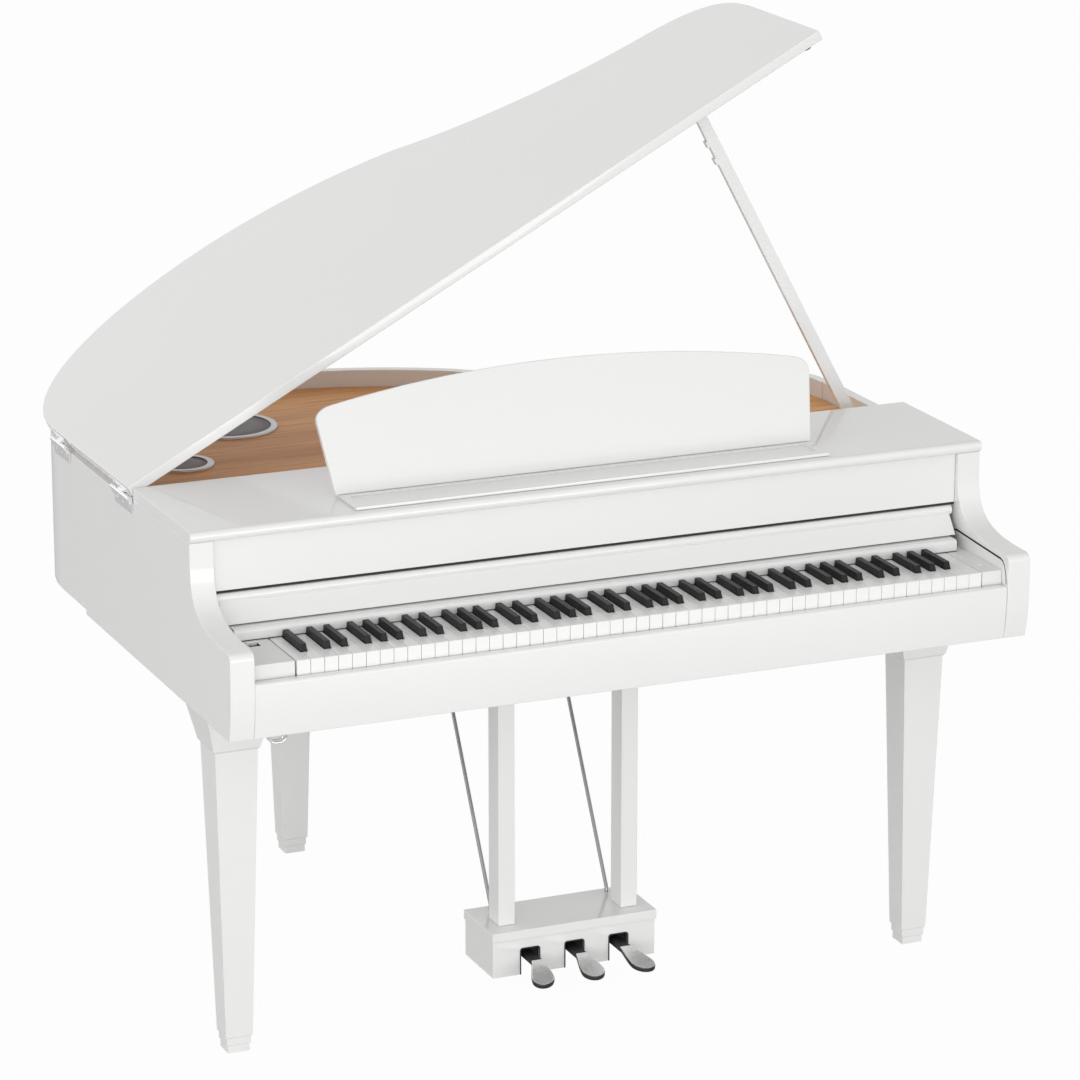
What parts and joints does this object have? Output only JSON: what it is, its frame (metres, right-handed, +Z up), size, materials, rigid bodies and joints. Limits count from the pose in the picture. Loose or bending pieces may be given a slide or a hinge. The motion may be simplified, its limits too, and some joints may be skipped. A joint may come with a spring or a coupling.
{
  "type": "digital grand piano",
  "caption": "White digital grand piano on three tapered legs, with its lid propped open, a music rest, a keyboard with a sliding cover and a pedal lyre.",
  "frame": {"origin": "on the floor, under the middle of the piano's outline", "axes": "+Z up, +X to the treble end, +Y from the keyboard to the tail"},
  "size_m": [1.442, 1.227, 1.6009],
  "materials": {
    "white_lacquer": "polished white lacquer on board",
    "primed_board": "white-primed board",
    "soundboard_wood": "varnished spruce, satin",
    "key_white": "smooth white",
    "key_black": "satin black",
    "amplifier_case": "black powder coat",
    "speaker_frame": "moulded frame and dark mesh",
    "polished_metal": "polished",
    "stay_metal": "brushed",
    "bumper_rubber": "plain"
  },
  "bodies": {
    "case": {"amplifier_unit": "amplifier_case", "belly_rail": "primed_board", "bottom_board": "primed_board", "case_leaf_front": "polished_metal", "case_leaf_rear": "polished_metal", "end_block_bass": "white_lacquer", "end_block_treble": "white_lacquer", "front_top_panel": "white_lacquer", "headphone_hanger": "polished_metal", "key_back_strip": "white_lacquer", "key_slip": "white_lacquer", "keybed": "white_lacquer", "leg_front_bass": "white_lacquer", "leg_front_treble": "white_lacquer", "leg_rear": "white_lacquer", "lyre_post_bass": "white_lacquer", "lyre_post_treble": "white_lacquer", "lyre_rod_bass": "polished_metal", "lyre_rod_treble": "polished_metal", "music_rest_tray": "white_lacquer", "name_panel": "white_lacquer", "pedal_box": "white_lacquer", "rim": "white_lacquer", "side_bass": "white_lacquer", "side_treble": "white_lacquer", "soundboard": "soundboard_wood", "speaker_large_bass": "speaker_frame", "speaker_large_treble": "speaker_frame", "speaker_small_bass": "speaker_frame", "speaker_small_treble": "speaker_frame"},
    "lid_body": {"lid": "white_lacquer", "lid_bumper": "bumper_rubber", "lid_leaf_front": "polished_metal", "lid_leaf_rear": "polished_metal"},
    "lid_prop_body": {"lid_prop": "white_lacquer"},
    "key_cover_body": {"key_cover": "white_lacquer"},
    "music_rest_body": {"music_rest": "white_lacquer"},
    "music_rest_stay_body": {"music_rest_stay": "stay_metal"},
    "volume_slider_body": {"volume_slider": "key_white"},
    "power_button_body": {"power_button": "key_white"},
    "function_button_body": {"function_button": "key_white"},
    "pedal_soft_body": {"pedal_soft": "polished_metal"},
    "pedal_sostenuto_body": {"pedal_sostenuto": "polished_metal"},
    "pedal_damper_body": {"pedal_damper": "polished_metal"},
    "naturals_low_body": {"naturals_low": "key_white"},
    "naturals_high_body": {"naturals_high": "key_white"},
    "sharps_low_body": {"sharps_low": "key_black"},
    "sharps_high_body": {"sharps_high": "key_black"},
    "key_c4_body": {"key_c4": "key_white"},
    "key_d4_body": {"key_d4": "key_white"},
    "key_e4_body": {"key_e4": "key_white"},
    "key_f4_body": {"key_f4": "key_white"},
    "key_g4_body": {"key_g4": "key_white"},
    "key_a4_body": {"key_a4": "key_white"},
    "key_b4_body": {"key_b4": "key_white"},
    "key_c4_sharp_body": {"key_c4_sharp": "key_black"},
    "key_d4_sharp_body": {"key_d4_sharp": "key_black"},
    "key_f4_sharp_body": {"key_f4_sharp": "key_black"},
    "key_g4_sharp_body": {"key_g4_sharp": "key_black"},
    "key_a4_sharp_body": {"key_a4_sharp": "key_black"}
  },
  "joints": [
    {"name": "lid_hinge", "type": "hinge", "parent": "case", "child": "lid_body", "pos_m": [-0.7225, -0.1409, 0.907], "axis": [0, -1, 0], "range_deg": [0, 8]},
    {"name": "lid_prop_pivot", "type": "hinge", "parent": "case", "child": "lid_prop_body", "pos_m": [0.642, -0.0935, 0.8855], "axis": [0, -1, 0], "range_deg": [0, 61.8]},
    {"name": "key_cover_slide", "type": "slide", "parent": "case", "child": "key_cover_body", "axis": [0, -0.9986, -0.053], "range_m": [0, 0.16]},
    {"name": "music_rest_hinge", "type": "hinge", "parent": "case", "child": "music_rest_body", "pos_m": [0.004, -0.3219, 0.934], "axis": [-1, 0, 0], "range_deg": [0, 70]},
    {"name": "music_rest_stay_hinge", "type": "hinge", "parent": "music_rest_body", "child": "music_rest_stay_body", "pos_m": [0.004, -0.28394, 1.0266], "axis": [1, 0, 0], "range_deg": [0, 131.5]},
    {"name": "volume_slider_slide", "type": "slide", "parent": "case", "child": "volume_slider_body", "axis": [0, -1, 0], "range_m": [0, 0.0158]},
    {"name": "power_button_press", "type": "slide", "parent": "case", "child": "power_button_body", "axis": [0, 0, -1], "range_m": [0, 0.001], "stiffness_N_per_m": 400, "springref_m": -0.001},
    {"name": "function_button_press", "type": "slide", "parent": "case", "child": "function_button_body", "axis": [0, 0, -1], "range_m": [0, 0.001], "stiffness_N_per_m": 400, "springref_m": -0.001},
    {"name": "pedal_soft_press", "type": "hinge", "parent": "case", "child": "pedal_soft_body", "pos_m": [-0.083, -0.2395, 0.068], "axis": [1, 0, 0], "range_deg": [0, 4.5], "stiffness_Nm_per_rad": 15, "springref_deg": -3.44},
    {"name": "pedal_sostenuto_press", "type": "hinge", "parent": "case", "child": "pedal_sostenuto_body", "pos_m": [0, -0.2395, 0.068], "axis": [1, 0, 0], "range_deg": [0, 4.5], "stiffness_Nm_per_rad": 15, "springref_deg": -3.44},
    {"name": "pedal_damper_press", "type": "hinge", "parent": "case", "child": "pedal_damper_body", "pos_m": [0.083, -0.2395, 0.068], "axis": [1, 0, 0], "range_deg": [0, 4.5], "stiffness_Nm_per_rad": 15, "springref_deg": -3.44},
    {"name": "naturals_low_press", "type": "hinge", "parent": "case", "child": "naturals_low_body", "pos_m": [0, -0.2385, 0.7195], "axis": [1, 0, 0], "range_deg": [0, 1.6], "stiffness_Nm_per_rad": 46, "springref_deg": -10.31},
    {"name": "naturals_high_press", "type": "hinge", "parent": "case", "child": "naturals_high_body", "pos_m": [0, -0.2385, 0.7195], "axis": [1, 0, 0], "range_deg": [0, 1.6], "stiffness_Nm_per_rad": 46, "springref_deg": -10.31},
    {"name": "sharps_low_press", "type": "hinge", "parent": "case", "child": "sharps_low_body", "pos_m": [0, -0.2385, 0.7195], "axis": [1, 0, 0], "range_deg": [0, 1.6], "stiffness_Nm_per_rad": 26, "springref_deg": -10.31},
    {"name": "sharps_high_press", "type": "hinge", "parent": "case", "child": "sharps_high_body", "pos_m": [0, -0.2385, 0.7195], "axis": [1, 0, 0], "range_deg": [0, 1.6], "stiffness_Nm_per_rad": 25, "springref_deg": -10.31},
    {"name": "key_c4_press", "type": "hinge", "parent": "case", "child": "key_c4_body", "pos_m": [0, -0.2385, 0.7195], "axis": [1, 0, 0], "range_deg": [0, 1.6], "stiffness_Nm_per_rad": 2, "springref_deg": -10.31},
    {"name": "key_d4_press", "type": "hinge", "parent": "case", "child": "key_d4_body", "pos_m": [0, -0.2385, 0.7195], "axis": [1, 0, 0], "range_deg": [0, 1.6], "stiffness_Nm_per_rad": 2, "springref_deg": -10.31},
    {"name": "key_e4_press", "type": "hinge", "parent": "case", "child": "key_e4_body", "pos_m": [0, -0.2385, 0.7195], "axis": [1, 0, 0], "range_deg": [0, 1.6], "stiffness_Nm_per_rad": 2, "springref_deg": -10.31},
    {"name": "key_f4_press", "type": "hinge", "parent": "case", "child": "key_f4_body", "pos_m": [0, -0.2385, 0.7195], "axis": [1, 0, 0], "range_deg": [0, 1.6], "stiffness_Nm_per_rad": 2, "springref_deg": -10.31},
    {"name": "key_g4_press", "type": "hinge", "parent": "case", "child": "key_g4_body", "pos_m": [0, -0.2385, 0.7195], "axis": [1, 0, 0], "range_deg": [0, 1.6], "stiffness_Nm_per_rad": 2, "springref_deg": -10.31},
    {"name": "key_a4_press", "type": "hinge", "parent": "case", "child": "key_a4_body", "pos_m": [0, -0.2385, 0.7195], "axis": [1, 0, 0], "range_deg": [0, 1.6], "stiffness_Nm_per_rad": 2, "springref_deg": -10.31},
    {"name": "key_b4_press", "type": "hinge", "parent": "case", "child": "key_b4_body", "pos_m": [0, -0.2385, 0.7195], "axis": [1, 0, 0], "range_deg": [0, 1.6], "stiffness_Nm_per_rad": 2, "springref_deg": -10.31},
    {"name": "key_c4_sharp_press", "type": "hinge", "parent": "case", "child": "key_c4_sharp_body", "pos_m": [0, -0.2385, 0.7195], "axis": [1, 0, 0], "range_deg": [0, 1.6], "stiffness_Nm_per_rad": 1.6, "springref_deg": -10.31},
    {"name": "key_d4_sharp_press", "type": "hinge", "parent": "case", "child": "key_d4_sharp_body", "pos_m": [0, -0.2385, 0.7195], "axis": [1, 0, 0], "range_deg": [0, 1.6], "stiffness_Nm_per_rad": 1.6, "springref_deg": -10.31},
    {"name": "key_f4_sharp_press", "type": "hinge", "parent": "case", "child": "key_f4_sharp_body", "pos_m": [0, -0.2385, 0.7195], "axis": [1, 0, 0], "range_deg": [0, 1.6], "stiffness_Nm_per_rad": 1.6, "springref_deg": -10.31},
    {"name": "key_g4_sharp_press", "type": "hinge", "parent": "case", "child": "key_g4_sharp_body", "pos_m": [0, -0.2385, 0.7195], "axis": [1, 0, 0], "range_deg": [0, 1.6], "stiffness_Nm_per_rad": 1.6, "springref_deg": -10.31},
    {"name": "key_a4_sharp_press", "type": "hinge", "parent": "case", "child": "key_a4_sharp_body", "pos_m": [0, -0.2385, 0.7195], "axis": [1, 0, 0], "range_deg": [0, 1.6], "stiffness_Nm_per_rad": 1.6, "springref_deg": -10.31}
  ],
  "couplings": [
    {"joint": "music_rest_stay_hinge", "follows": "music_rest_hinge", "ratio": 1.8782}
  ]
}
